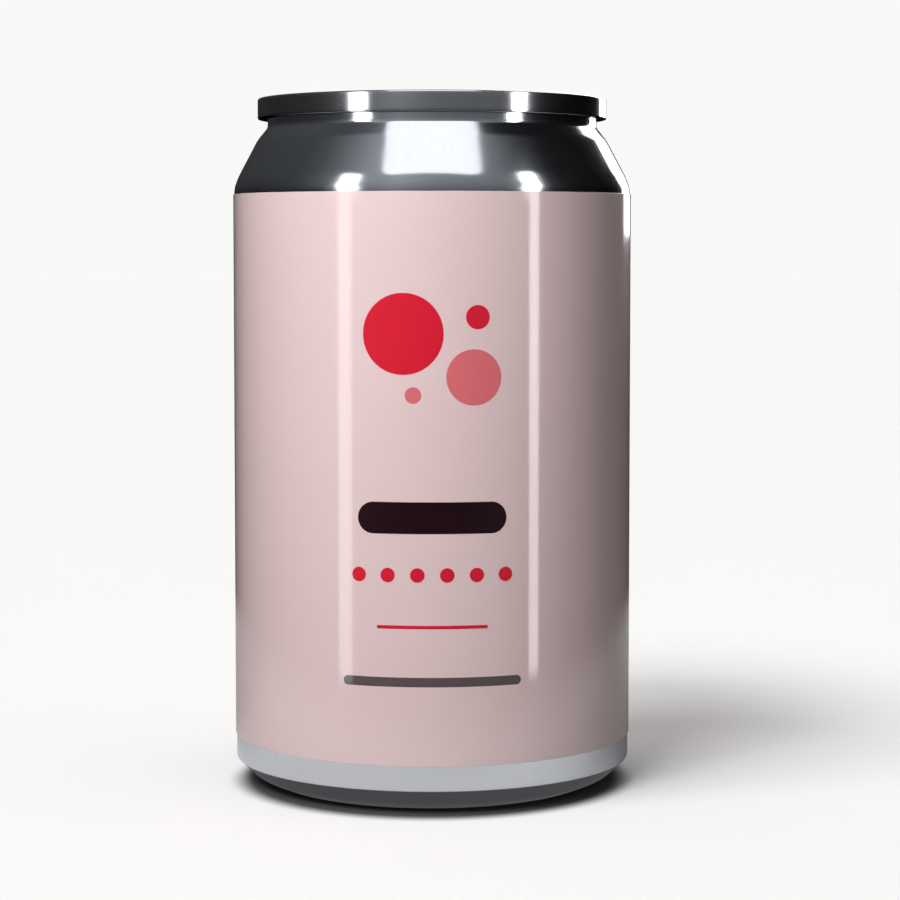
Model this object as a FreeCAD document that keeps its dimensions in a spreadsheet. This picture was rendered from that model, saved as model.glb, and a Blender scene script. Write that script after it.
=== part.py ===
"""A shut 330 ml drinks can: drawn body, seamed end, stay-on tab and printed sleeve.

The origin is the middle of the circle that the can stands on. +Z is up, -Y is the front of the print.
The mouth of the can is towards the front, and the lifting end of the tab towards the back.
Lengths are in millimetres.
"""

import FreeCAD, Part
import math
import os
import Sketcher

Vector = FreeCAD.Vector

DIMENSIONS = [
    # The whole can
    ("overall_height", 114.05, "from the stand ring to the top of the seam"),
    ("body_diameter", 66.2, "outside of the straight wall"),
    # The base: a stand ring round a dome
    ("taper_height", 3.9, "height where the straight wall ends"),
    ("taper_edge_round", 0.6, "edge between the wall and the taper"),
    ("knee_run", 2.9, "how far the steep part of the taper comes in"),
    ("knee_drop", 2.7, "how far the steep part of the taper comes down"),
    ("knee_round", 4.0, "bend between the steep and the flat part of the taper"),
    ("stand_inset", 5.8, "how far the stand ring is in from the wall"),
    ("stand_width", 1.9, "the stand ring across, before its edges are rounded"),
    ("stand_round", 0.9, "edges of the stand ring"),
    ("stand_wall_run", 0.8, "how far the inside of the stand ring leans in"),
    ("stand_wall_height", 2.6, "height of the inside of the stand ring"),
    ("dome_height", 9.8, "middle of the dome above the floor"),
    ("dome_edge_round", 0.8, "bend between the stand ring and the dome"),
    # The shoulder and the neck
    ("neck_inset", 5.6, "how far the neck is in from the wall"),
    ("neck_length", 1.4, "straight neck under the seam"),
    ("neck_round", 1.2, "hollow bend under the neck"),
    ("shoulder_height", 10.05, "from the end of the straight wall to the end of the neck"),
    ("crown_run", 1.7, "how far the steep top of the shoulder goes out"),
    ("crown_drop", 2.1, "how far the steep top of the shoulder comes down"),
    ("crown_round", 5.0, "bend under the top of the shoulder"),
    ("foot_run", 0.7, "how far the foot of the shoulder goes out"),
    ("foot_drop", 1.9, "how far the foot of the shoulder comes down"),
    ("foot_round", 10.0, "bend above the foot of the shoulder"),
    ("wall_round", 4.0, "bend between the shoulder and the straight wall"),
    ("neck_wall", 0.2, "sheet of the neck inside the seam"),
    # The end: seam, chuck wall, countersink and panel
    ("seam_overhang", 1.65, "how far the seam stands out past the neck"),
    ("seam_height", 3.4, "top to bottom of the seam"),
    ("seam_wall", 1.55, "seam across its top"),
    ("seam_outer_round", 0.35, "outer top edge of the seam"),
    ("seam_inner_round", 0.6, "inner top edge of the seam"),
    ("seam_foot_round", 0.2, "outer bottom edge of the seam"),
    ("end_sheet", 0.3, "sheet of the chuck wall and of the countersink"),
    ("chuck_run", 1.0, "how far the chuck wall leans in below the seam"),
    ("groove_width", 1.1, "bottom of the countersink, before its edges are rounded"),
    ("groove_depth", 2.3, "countersink below the panel"),
    ("groove_round", 0.45, "bends of the countersink"),
    ("panel_depth", 4.6, "panel below the top of the seam"),
    ("panel_wall_run", 0.4, "how far the edge of the panel leans in"),
    ("panel_round", 0.5, "edge of the panel"),
    ("panel_thickness", 2.2, "panel with what backs it"),
    # What is stamped into the panel
    ("recess_depth", 0.4, "recess round the mouth and the tab"),
    ("recess_front_radius", 14.2, "wide end of the recess"),
    ("recess_front_margin", 1.7, "from the recess to the front edge of the panel"),
    ("recess_back_radius", 10.8, "narrow end of the recess"),
    ("recess_back_margin", 2.7, "from the recess to the back edge of the panel"),
    ("mouth_width", 22.6, "score line of the mouth, side to side"),
    ("mouth_margin", 2.8, "from the score line to the front of the recess"),
    ("mouth_rear_gap", 4.0, "from the score line to the middle of the rivet"),
    ("score_width", 0.3, "score line across"),
    ("score_depth", 0.12, "score line"),
    ("well_width", 13.0, "finger well, side to side"),
    ("well_length", 7.4, "finger well, front to back"),
    ("well_setback", 3.0, "middle of the finger well, in front of the end of the tab"),
    ("well_depth", 0.9, "finger well below the recess"),
    # The rivet
    ("rivet_shoulder_radius", 3.0, "what the tab sits on"),
    ("rivet_stem_radius", 1.6, "what goes through the tab"),
    ("rivet_head_radius", 2.7, "what holds the tab down"),
    ("rivet_head_height", 0.45, "rivet head"),
    # The tab
    ("tab_clearance", 0.1, "tab above the panel"),
    ("tab_thickness", 1.15, "curled edge of the tab"),
    ("tab_edge_round", 0.45, "outer edges of the tab"),
    ("tab_nose_radius", 6.6, "front end of the tab"),
    ("tab_nose_offset", 0.6, "middle of the nose, in front of the rivet"),
    ("tab_heel_radius", 8.2, "lifting end of the tab"),
    ("tab_heel_offset", 9.4, "middle of the heel, behind the rivet"),
    ("tab_hole_clearance", 0.05, "hole in the tab round the rivet stem"),
    ("tongue_radius", 4.4, "riveted tongue of the tab"),
    ("tongue_thickness", 0.35, "riveted tongue of the tab"),
    ("ring_length", 8.2, "finger hole, front to back"),
    ("ring_side_wall", 2.5, "tab beside the finger hole"),
    ("ring_end_wall", 3.1, "tab behind the finger hole"),
    # The sleeve
    ("sleeve_thickness", 0.2, "printed sleeve"),
    ("bare_band", 4.0, "bare wall below the sleeve"),
    ("sleeve_top_gap", 1.0, "bare wall above the sleeve"),
]

# Lengths that follow from the driving dimensions, as expressions for the constraints.
WALL = "dims.body_diameter / 2"
NECK = f"{WALL} - dims.neck_inset"
SEAM = f"{NECK} + dims.seam_overhang"
STAND = f"{WALL} - dims.stand_inset"
STAND_IN = f"{STAND} - dims.stand_width"
DOME_EDGE = f"{STAND_IN} - dims.stand_wall_run"
TOP = "dims.overall_height"
SEAM_FOOT = f"{TOP} - dims.seam_height"
NECK_END = f"{SEAM_FOOT} - dims.neck_length"
SHOULDER_FOOT = f"{NECK_END} - dims.shoulder_height"
CHUCK_TOP = f"{NECK} - dims.neck_wall - dims.end_sheet"
GROOVE_OUT = f"{CHUCK_TOP} - dims.chuck_run"
GROOVE_IN = f"{GROOVE_OUT} - dims.groove_width"
PANEL_EDGE = f"{GROOVE_IN} - dims.panel_wall_run"
PANEL = f"{TOP} - dims.panel_depth"
GROOVE = f"{PANEL} - dims.groove_depth"
RECESS_FLOOR = f"{PANEL} - dims.recess_depth"
RECESS_FRONT = f"{PANEL_EDGE} - dims.recess_front_margin"
RECESS_BACK = f"{PANEL_EDGE} - dims.recess_back_margin"
MOUTH_FRONT = f"{RECESS_FRONT} - dims.mouth_margin"
TAB_FOOT = f"{PANEL} + dims.tab_clearance"
TAB_TOP = f"{TAB_FOOT} + dims.tab_thickness"
TAB_END = "dims.tab_heel_offset + dims.tab_heel_radius"


def make_sheet(doc):
    """The spreadsheet that holds every driving dimension."""
    sheet = doc.addObject("Spreadsheet::Sheet", "dims")
    for row, (alias, value, note) in enumerate(DIMENSIONS, start=1):
        sheet.set(f"A{row}", alias)
        sheet.set(f"B{row}", str(value))
        sheet.setAlias(f"B{row}", alias)
        sheet.set(f"C{row}", note)
    doc.recompute()


def make_body(doc, label):
    body = doc.addObject("PartDesign::Body", label)
    body.Label = label
    return body


def make_sketch(body, name, role, height=None):
    """A sketch on one of the body's own origin planes, lifted by the expression height if it has one."""
    sketch = body.newObject("Sketcher::SketchObject", name)
    plane = next(f for f in body.Origin.OriginFeatures if f.Role == role)
    sketch.AttachmentSupport = [(plane, "")]
    sketch.MapMode = "FlatFace"
    if height:
        sketch.setExpression("AttachmentOffset.Base.z", height)
    return sketch


def number(sketch, expression):
    """What an expression comes to now, in millimetres."""
    value = sketch.evalExpression(expression)
    return float(getattr(value, "Value", value))


def bind(sketch, constraint, expression):
    """Adds a constraint whose value follows an expression. constraint holds its other arguments."""
    index = sketch.addConstraint(Sketcher.Constraint(*constraint, number(sketch, expression)))
    sketch.setExpression(f"Constraints[{index}]", expression)


def place(sketch, geometry, point, x, y):
    """Holds a point of the geometry at the expressions x and y. None stands for a point on that axis."""
    if x is None:
        sketch.addConstraint(Sketcher.Constraint("PointOnObject", geometry, point, -2))
    else:
        bind(sketch, ("DistanceX", -1, 1, geometry, point), x)
    if y is None:
        sketch.addConstraint(Sketcher.Constraint("PointOnObject", geometry, point, -1))
    else:
        bind(sketch, ("DistanceY", -1, 1, geometry, point), y)


def rounded(before, corner, after, radius):
    """Where an arc that rounds a corner starts and ends, its centre, and whether it turns left."""
    to_before = (before - corner).normalize()
    to_after = (after - corner).normalize()
    half = to_before.getAngle(to_after) / 2
    start = corner + to_before * (radius / math.tan(half))
    end = corner + to_after * (radius / math.tan(half))
    centre = corner + (to_before + to_after).normalize() * (radius / math.sin(half))
    return start, end, centre, (corner - before).cross(after - corner).z > 0


def make_profile(sketch, corners, domed=False):
    """A closed outline through corners, each (x, y, radius) as expressions, with None for zero.

    A corner with a radius is rounded by an arc that is tangent to both of its sides. If domed, the first
    side is an arc whose centre is on the vertical axis, and its two ends are not rounded.
    """
    spots = [Vector(*(number(sketch, e) if e else 0 for e in (x, y)), 0) for x, y, _ in corners]
    count = len(corners)
    rounds = {}
    for i, (_, _, radius) in enumerate(corners):
        if radius:
            after = spots[(i + 1) % count]
            rounds[i] = rounded(spots[i - 1], spots[i], after, number(sketch, radius))

    sides = []
    for i in range(count):
        j = (i + 1) % count
        start = rounds[i][1] if i in rounds else spots[i]
        end = rounds[j][0] if j in rounds else spots[j]
        if i == 0 and domed:
            rise = start.y - end.y
            dome_radius = (end.x**2 + rise**2) / (2 * rise)
            circle = Part.Circle(Vector(0, start.y - dome_radius, 0), Vector(0, 0, 1), dome_radius)
            angle = math.atan2(end.y - circle.Center.y, end.x)
            dome = sketch.addGeometry(Part.ArcOfCircle(circle, angle, math.pi / 2), False)
            sketch.addConstraint(Sketcher.Constraint("PointOnObject", dome, 3, -2))
            sides.append((dome, 2, 1))
        else:
            sides.append((sketch.addGeometry(Part.LineSegment(start, end), False), 1, 2))

    for i, (x, y, radius) in enumerate(corners):
        before, _, before_end = sides[i - 1]
        after, after_start, _ = sides[i]
        if not radius:
            sketch.addConstraint(Sketcher.Constraint("Coincident", before, before_end, after, after_start))
            place(sketch, after, after_start, x, y)
            continue
        start, end, centre, left = rounds[i]
        first, last = (start, end) if left else (end, start)
        circle = Part.Circle(centre, Vector(0, 0, 1), number(sketch, radius))
        angles = [math.atan2(p.y - centre.y, p.x - centre.x) for p in (first, last)]
        arc = sketch.addGeometry(Part.ArcOfCircle(circle, *angles), False)
        entry, leave = (1, 2) if left else (2, 1)
        sketch.addConstraint(Sketcher.Constraint("Tangent", before, before_end, arc, entry))
        sketch.addConstraint(Sketcher.Constraint("Tangent", arc, leave, after, after_start))
        bind(sketch, ("Radius", arc), radius)
        corner = sketch.addGeometry(Part.Point(spots[i]), True)
        sketch.addConstraint(Sketcher.Constraint("PointOnObject", corner, 1, before))
        sketch.addConstraint(Sketcher.Constraint("PointOnObject", corner, 1, after))
        place(sketch, corner, 1, x, y)


def make_circle(sketch, radius):
    """A circle round the origin of the sketch."""
    circle = sketch.addGeometry(Part.Circle(Vector(), Vector(0, 0, 1), number(sketch, radius)), False)
    sketch.addConstraint(Sketcher.Constraint("Coincident", circle, 3, -1, 1))
    bind(sketch, ("Radius", circle), radius)


def make_egg(sketch, front_radius, front_offset, back_radius, back_offset):
    """The outline of a front circle, a back circle and the two lines that touch both."""
    front, back = number(sketch, front_radius), number(sketch, back_radius)
    front_y, back_y = -number(sketch, front_offset), number(sketch, back_offset)
    lean = math.asin((front - back) / (back_y - front_y))
    side = Vector(math.cos(lean), math.sin(lean), 0)
    other = Vector(-side.x, side.y, 0)
    middles = Vector(0, front_y, 0), Vector(0, back_y, 0)
    normal = Vector(0, 0, 1)
    arcs = []
    for middle, radius, turn in ((middles[0], front, math.pi - lean), (middles[1], back, lean)):
        circle = Part.Circle(middle, normal, radius)
        end = 2 * math.pi + lean if turn > math.pi / 2 else math.pi - lean
        arcs.append(sketch.addGeometry(Part.ArcOfCircle(circle, turn, end), False))
    ends = ((side, 2, 1), (other, 1, 2))
    for direction, front_end, back_end in ends:
        line = Part.LineSegment(middles[0] + direction * front, middles[1] + direction * back)
        made = sketch.addGeometry(line, False)
        sketch.addConstraint(Sketcher.Constraint("Tangent", arcs[0], front_end, made, 1))
        sketch.addConstraint(Sketcher.Constraint("Tangent", arcs[1], back_end, made, 2))
    place(sketch, arcs[0], 3, None, f"-({front_offset})")
    place(sketch, arcs[1], 3, None, back_offset)
    bind(sketch, ("Radius", arcs[0]), front_radius)
    bind(sketch, ("Radius", arcs[1]), back_radius)


def make_slot(sketch, width, length, middle):
    """A slot along X with round ends: width is along X, length along Y, and middle its place on Y."""
    radius = number(sketch, length) / 2
    reach = number(sketch, width) / 2 - radius
    y = number(sketch, middle)
    normal = Vector(0, 0, 1)
    quarter = math.pi / 2
    arcs = []
    for x, first in ((reach, -quarter), (-reach, quarter)):
        circle = Part.Circle(Vector(x, y, 0), normal, radius)
        arcs.append(sketch.addGeometry(Part.ArcOfCircle(circle, first, first + math.pi), False))
    right, left = arcs
    for side, right_end, left_end in ((1, 2, 1), (-1, 1, 2)):
        line = Part.LineSegment(Vector(reach, y + side * radius, 0), Vector(-reach, y + side * radius, 0))
        made = sketch.addGeometry(line, False)
        sketch.addConstraint(Sketcher.Constraint("Tangent", right, right_end, made, 1))
        sketch.addConstraint(Sketcher.Constraint("Tangent", left, left_end, made, 2))
    place(sketch, right, 3, f"({width} - {length}) / 2", middle)
    place(sketch, left, 3, f"-({width} - {length}) / 2", middle)
    bind(sketch, ("Radius", right), f"{length} / 2")


def revolve(body, name, sketch):
    turned = body.newObject("PartDesign::Revolution", name)
    turned.Profile = sketch
    turned.ReferenceAxis = (sketch, ["V_Axis"])
    turned.Angle = 360
    body.Document.recompute()
    return turned


def extrude(kind, body, name, sketch, length):
    """A Pad upwards from its sketch, or a Pocket downwards from it."""
    made = body.newObject(f"PartDesign::{kind}", name)
    made.Profile = sketch
    made.setExpression("Length", length)
    before = 0 if body.Shape.isNull() else body.Shape.Volume
    body.Document.recompute()
    change = body.Shape.Volume - before
    if change * (1 if kind == "Pad" else -1) <= 0:
        raise RuntimeError(f"{name} changed nothing")
    return made


def circle_edges(shape, radius, height):
    """The names of a shape's circular edges of a radius at a height."""
    close = 1e-4
    return [
        f"Edge{n}"
        for n, edge in enumerate(shape.Edges, start=1)
        if not edge.Degenerated
        and isinstance(edge.Curve, Part.Circle)
        and abs(edge.Curve.Radius - radius) < close
        and abs(edge.Curve.Center.z - height) < close
    ]


def outer_edges(shape, height):
    """The names of the edges that bound a shape's flat face at a height on the outside."""
    close = 1e-4
    names = []
    for face in shape.Faces:
        flat = isinstance(face.Surface, Part.Plane) and abs(face.CenterOfMass.z - height) < close
        if flat and abs(face.normalAt(0, 0).z) > 1 - close:
            for edge in face.OuterWire.Edges:
                names += [f"Edge{n}" for n, e in enumerate(shape.Edges, start=1) if e.isSame(edge)]
    return names


def fillet(body, name, base, edges, radius):
    made = body.newObject("PartDesign::Fillet", name)
    made.Base = (base, edges)
    made.setExpression("Radius", radius)
    body.Document.recompute()
    return made


def end_underside():
    """Corners of the end's hidden side, from the foot of the seam to the axis. The body meets it there."""
    outer = "dims.end_sheet"
    return [
        (f"{CHUCK_TOP} + {outer}", SEAM_FOOT, None),
        (f"{GROOVE_OUT} + {outer}", f"{GROOVE} - {outer}", "dims.groove_round"),
        (f"{GROOVE_IN} - {outer}", f"{GROOVE} - {outer}", "dims.groove_round"),
        (f"{PANEL_EDGE} - {outer}", f"{PANEL} - dims.panel_thickness", None),
        (None, f"{PANEL} - dims.panel_thickness", None),
    ]


def make_can_body(doc):
    """The drawn and ironed body with what it holds, one solid: dome, stand ring, wall, shoulder and neck."""
    blank = make_body(doc, "can_body_blank")
    sketch = make_sketch(blank, "body_profile", "XZ_Plane")
    make_profile(
        sketch,
        [
            (None, "dims.dome_height", None),
            (DOME_EDGE, "dims.stand_wall_height", None),
            (STAND_IN, None, "dims.stand_round"),
            (STAND, None, "dims.stand_round"),
            (f"{WALL} - dims.knee_run", "dims.taper_height - dims.knee_drop", "dims.knee_round"),
            (WALL, "dims.taper_height", "dims.taper_edge_round"),
            (WALL, SHOULDER_FOOT, "dims.wall_round"),
            (f"{WALL} - dims.foot_run", f"{SHOULDER_FOOT} + dims.foot_drop", "dims.foot_round"),
            (f"{NECK} + dims.crown_run", f"{NECK_END} - dims.crown_drop", "dims.crown_round"),
            (NECK, NECK_END, "dims.neck_round"),
            (NECK, SEAM_FOOT, None),
            (None, SEAM_FOOT, None),
        ],
        domed=True,
    )
    turned = revolve(blank, "body_turned", sketch)
    dome_edge = circle_edges(
        turned.Shape, number(sketch, DOME_EDGE), number(sketch, "dims.stand_wall_height")
    )
    fillet(blank, "dome_edge", turned, dome_edge, "dims.dome_edge_round")

    room = make_body(doc, "room_for_the_end")
    sketch = make_sketch(room, "room_profile", "XZ_Plane")
    make_profile(sketch, end_underside() + [(None, TOP, None), (f"{CHUCK_TOP} + dims.end_sheet", TOP, None)])
    revolve(room, "room_turned", sketch)

    body = doc.addObject("Part::Cut", "can_body")
    body.Label = "can_body"
    body.Base = blank
    body.Tool = room
    doc.recompute()
    return body


def make_can_end(doc):
    """The end, all one sheet: double seam, chuck wall, countersink, stamped panel, score line, rivet."""
    body = make_body(doc, "can_end")
    sketch = make_sketch(body, "end_profile", "XZ_Plane")
    corners = end_underside() + [
        (None, PANEL, None),
        (PANEL_EDGE, PANEL, "dims.panel_round"),
        (GROOVE_IN, GROOVE, "dims.groove_round"),
        (GROOVE_OUT, GROOVE, "dims.groove_round"),
        (CHUCK_TOP, SEAM_FOOT, "dims.seam_foot_round"),
        (f"{SEAM} - dims.seam_wall", TOP, "dims.seam_inner_round"),
        (SEAM, TOP, "dims.seam_outer_round"),
        (SEAM, SEAM_FOOT, "dims.seam_foot_round"),
    ]
    make_profile(sketch, corners)
    revolve(body, "end_turned", sketch)

    sketch = make_sketch(body, "recess_outline", "XY_Plane", PANEL)
    make_egg(
        sketch,
        "dims.recess_front_radius",
        f"{RECESS_FRONT} - dims.recess_front_radius",
        "dims.recess_back_radius",
        f"{RECESS_BACK} - dims.recess_back_radius",
    )
    extrude("Pocket", body, "recess", sketch, "dims.recess_depth")

    sketch = make_sketch(body, "well_outline", "XY_Plane", RECESS_FLOOR)
    make_slot(sketch, "dims.well_width", "dims.well_length", f"{TAB_END} - dims.well_setback")
    extrude("Pocket", body, "finger_well", sketch, "dims.well_depth")

    sketch = make_sketch(body, "score_outline", "XY_Plane", RECESS_FLOOR)
    length = f"({MOUTH_FRONT} - dims.mouth_rear_gap)"
    middle = f"-({MOUTH_FRONT} + dims.mouth_rear_gap) / 2"
    make_slot(sketch, "dims.mouth_width", length, middle)
    inset = "2 * dims.score_width"
    make_slot(sketch, f"(dims.mouth_width - {inset})", f"({length} - {inset})", middle)
    extrude("Pocket", body, "score_line", sketch, "dims.score_depth")

    steps = [
        (
            "rivet_shoulder",
            "dims.rivet_shoulder_radius",
            RECESS_FLOOR,
            "dims.recess_depth + dims.tab_clearance",
        ),
        ("rivet_stem", "dims.rivet_stem_radius", TAB_FOOT, "dims.tongue_thickness"),
        (
            "rivet_head",
            "dims.rivet_head_radius",
            f"{TAB_FOOT} + dims.tongue_thickness",
            "dims.rivet_head_height",
        ),
    ]
    for name, radius, height, length in steps:
        sketch = make_sketch(body, f"{name}_outline", "XY_Plane", height)
        make_circle(sketch, radius)
        extrude("Pad", body, name, sketch, length)
    return body


def make_pull_tab(doc):
    """The stay-on tab: a curled edge, a finger hole and a thin tongue that the rivet holds."""
    body = make_body(doc, "pull_tab")
    sketch = make_sketch(body, "tab_outline", "XY_Plane", TAB_FOOT)
    make_egg(
        sketch,
        "dims.tab_nose_radius",
        "dims.tab_nose_offset",
        "dims.tab_heel_radius",
        "dims.tab_heel_offset",
    )
    pad = extrude("Pad", body, "tab_blank", sketch, "dims.tab_thickness")
    edges = outer_edges(pad.Shape, number(sketch, TAB_FOOT)) + outer_edges(pad.Shape, number(sketch, TAB_TOP))
    fillet(body, "tab_edges", pad, edges, "dims.tab_edge_round")

    sketch = make_sketch(body, "ring_outline", "XY_Plane", TAB_TOP)
    make_slot(
        sketch,
        "2 * (dims.tab_heel_radius - dims.ring_side_wall)",
        "dims.ring_length",
        f"{TAB_END} - dims.ring_end_wall - dims.ring_length / 2",
    )
    extrude("Pocket", body, "finger_hole", sketch, "dims.tab_thickness")

    sketch = make_sketch(body, "tongue_outline", "XY_Plane", TAB_TOP)
    make_circle(sketch, "dims.tongue_radius")
    extrude("Pocket", body, "tongue", sketch, "dims.tab_thickness - dims.tongue_thickness")

    sketch = make_sketch(body, "rivet_hole_outline", "XY_Plane", TAB_TOP)
    make_circle(sketch, "dims.rivet_stem_radius + dims.tab_hole_clearance")
    extrude("Pocket", body, "rivet_hole", sketch, "dims.tab_thickness")
    return body


def make_label_sleeve(doc):
    """The printed sleeve round the straight wall."""
    body = make_body(doc, "label_sleeve")
    sketch = make_sketch(body, "sleeve_profile", "XZ_Plane")
    outside = f"{WALL} + dims.sleeve_thickness"
    bottom = "dims.taper_height + dims.bare_band"
    top = f"{SHOULDER_FOOT} - dims.sleeve_top_gap"
    make_profile(
        sketch, [(WALL, bottom, None), (outside, bottom, None), (outside, top, None), (WALL, top, None)]
    )
    revolve(body, "sleeve_turned", sketch)
    return body


def main():
    doc = FreeCAD.newDocument("drinks_can")
    make_sheet(doc)
    pieces = [make_can_body(doc), make_can_end(doc), make_pull_tab(doc), make_label_sleeve(doc)]
    doc.recompute()

    for found in doc.Objects:
        if {"Invalid", "Error"} & set(found.State):
            raise RuntimeError(f"{found.Label} failed: {found.State}")
    os.makedirs("parts", exist_ok=True)
    for piece in pieces:
        shape = piece.Shape
        if shape.isNull() or not shape.isValid() or len(shape.Solids) != 1:
            raise RuntimeError(f"{piece.Label} is not one valid solid")
        shape.exportStep(f"parts/{piece.Label}.step")
        print(piece.Label, round(shape.Volume, 3), shape.optimalBoundingBox())


main()
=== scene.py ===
import math

import bmesh
import bpy
import numpy as np
from mathutils import Matrix, Vector


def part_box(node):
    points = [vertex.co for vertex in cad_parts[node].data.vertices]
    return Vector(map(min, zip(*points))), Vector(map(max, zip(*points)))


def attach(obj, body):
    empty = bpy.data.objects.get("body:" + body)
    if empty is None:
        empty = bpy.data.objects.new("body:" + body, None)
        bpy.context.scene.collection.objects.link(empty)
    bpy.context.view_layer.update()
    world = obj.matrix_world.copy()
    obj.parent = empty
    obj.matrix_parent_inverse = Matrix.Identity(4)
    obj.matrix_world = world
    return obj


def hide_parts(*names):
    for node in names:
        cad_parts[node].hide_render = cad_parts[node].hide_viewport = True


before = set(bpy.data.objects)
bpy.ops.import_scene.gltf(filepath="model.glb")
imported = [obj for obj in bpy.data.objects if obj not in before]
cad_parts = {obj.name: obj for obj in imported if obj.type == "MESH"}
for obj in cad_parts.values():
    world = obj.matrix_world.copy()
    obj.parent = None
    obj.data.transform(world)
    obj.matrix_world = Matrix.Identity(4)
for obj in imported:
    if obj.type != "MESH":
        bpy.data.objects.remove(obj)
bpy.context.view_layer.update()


# The camera.
# A long lens at about the height of the upper label looks slightly down, a little to the right of the can.
MM = 0.001
EYE_DISTANCE = 430.1 * MM
EYE_HEIGHT = 90.4 * MM
LOOK_DOWN = math.radians(3.671)
LOOK_RIGHT = math.radians(0.400)
LENS_ANGLE = math.radians(19.992)
LENS_RISE = -0.05

lens = bpy.data.cameras.new("camera")
lens.sensor_width = 36
lens.angle = LENS_ANGLE
lens.shift_y = LENS_RISE
camera = bpy.data.objects.new("camera", lens)
camera.location = (0, -EYE_DISTANCE, EYE_HEIGHT)
camera.rotation_euler = (math.pi / 2 - LOOK_DOWN, 0, -LOOK_RIGHT)
bpy.context.scene.collection.objects.link(camera)
bpy.context.scene.camera = camera
bpy.context.scene.view_settings.view_transform = "Standard"


# The floor.
# One wide sheet of white board, with a painted contact shadow close round the foot on top of its real shade.
# The can mirrors only the part of it that is near, with painted shadow added where the real shadow falls,
# painted shade behind the can and a painted glow under the foot. Little light comes back from it onto the
# can.
FLOOR_REACH = 6.0
FLOOR_SEGMENTS = 96
FLOOR_WHITE = 0.82
FLOOR_BOUNCE = 0.238
# A painted contact shadow: the floor's grey close round the foot, the reach over which it clears, and how
# far its middle lies towards the front.
PAINTED_FOOT_SHADOW = 0.07
PAINTED_FOOT_SHADOW_REACH = (30.0 * MM, 34.8 * MM)
PAINTED_FOOT_SHADOW_FRONT = 2.5 * MM
# The floor as the can mirrors it: its white, then the greys of the painted shadow and the painted shade
# behind the can.
MIRRORED_WHITE = 0.71
MIRRORED_PAINTED_SHADOW = 0.28
MIRRORED_PAINTED_SHADE = 0.30
# A painted glow under the foot, which only reflections see.
PAINTED_FOOT_GLOW = 0.100
# Where the painted shadow in reflections lies and fades out, and where the painted shade behind the can sets
# in.
SHADOW_SIDE = (60 * MM, 40 * MM, 0)
SHADOW_REACH = (15 * MM, 95 * MM)
BEHIND = (-10 * MM, 60 * MM)
# Within this reach round the foot, reflections see the painted glow instead of the floor.
PAINTED_GLOW_REACH = (30.6 * MM, 36.2 * MM)
MIRRORED_MIDDLE = (0, 60 * MM, 0)
MIRRORED_FADE = 130 * MM
MIRRORED_REACH = 200 * MM


def new_material(name):
    """A material with no nodes yet, and short cuts to add and to link its nodes."""
    material = bpy.data.materials.new(name)
    material.use_nodes = True
    material.node_tree.nodes.clear()
    return material, material.node_tree.nodes.new, material.node_tree.links.new


def new_piece(name, bm, material):
    """An object of its own from a bmesh."""
    mesh = bpy.data.meshes.new(name)
    bm.to_mesh(mesh)
    bm.free()
    mesh.materials.append(material)
    piece = bpy.data.objects.new(name, mesh)
    bpy.context.scene.collection.objects.link(piece)
    return piece


def smooth_step(add, link, source, low, high):
    """0 below low and 1 above high, with a smooth rise between."""
    made = add("ShaderNodeMapRange")
    made.interpolation_type = "SMOOTHSTEP"
    made.inputs["From Min"].default_value = low
    made.inputs["From Max"].default_value = high
    link(source, made.inputs["Value"])
    return made.outputs["Result"]


def blend_greys(add, link, factor, first, second):
    """A mix of two greys, or of a grey and another mix."""
    made = add("ShaderNodeMix")
    made.data_type = "FLOAT"
    link(factor, made.inputs["Factor"])
    for socket, grey in ((made.inputs["A"], first), (made.inputs["B"], second)):
        if isinstance(grey, float):
            socket.default_value = grey
        else:
            link(grey, socket)
    return made.outputs["Result"]


def distance_from(add, link, vector, spot):
    """How far a vector is from a spot."""
    made = add("ShaderNodeVectorMath")
    made.operation = "DISTANCE"
    made.inputs[1].default_value = spot
    link(vector, made.inputs[0])
    return made.outputs["Value"]


board, add, link = new_material("white_board")
where = add("ShaderNodeTexCoord").outputs["Object"]
spot = add("ShaderNodeSeparateXYZ")
link(where, spot.inputs["Vector"])
path = add("ShaderNodeLightPath")
from_middle = distance_from(add, link, where, MIRRORED_MIDDLE)
from_foot = distance_from(add, link, where, (0, -PAINTED_FOOT_SHADOW_FRONT, 0))
from_shadow = distance_from(add, link, where, SHADOW_SIDE)
far = smooth_step(add, link, from_middle, MIRRORED_FADE, MIRRORED_REACH)
# Masks of the painted shadow and the painted shade behind the can, for reflections only.
lit = smooth_step(add, link, from_shadow, *SHADOW_REACH)
behind = smooth_step(add, link, spot.outputs["Y"], *BEHIND)
# Where the painted contact shadow clears, and where the painted glow under the foot ends.
clear_of_painted_shadow = smooth_step(add, link, from_foot, *PAINTED_FOOT_SHADOW_REACH)
clear_of_painted_glow = smooth_step(add, link, from_foot, *PAINTED_GLOW_REACH)
# What the can mirrors of the floor: white, darkened by painted shadow and painted shade, fading out far
# away.
mirrored = blend_greys(add, link, lit, MIRRORED_PAINTED_SHADOW, MIRRORED_WHITE)
mirrored = blend_greys(add, link, behind, mirrored, MIRRORED_PAINTED_SHADE)
mirrored = blend_greys(add, link, far, mirrored, 0.0)
# Under the foot, reflections see no floor, only the painted glow.
mirrored = blend_greys(add, link, clear_of_painted_glow, 0.0, mirrored)
grey = blend_greys(add, link, path.outputs["Is Diffuse Ray"], FLOOR_WHITE, FLOOR_BOUNCE)
# The painted contact shadow, darkening the floor close round the foot.
grey = blend_greys(add, link, clear_of_painted_shadow, PAINTED_FOOT_SHADOW, grey)
grey = blend_greys(add, link, path.outputs["Is Glossy Ray"], grey, mirrored)
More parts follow.
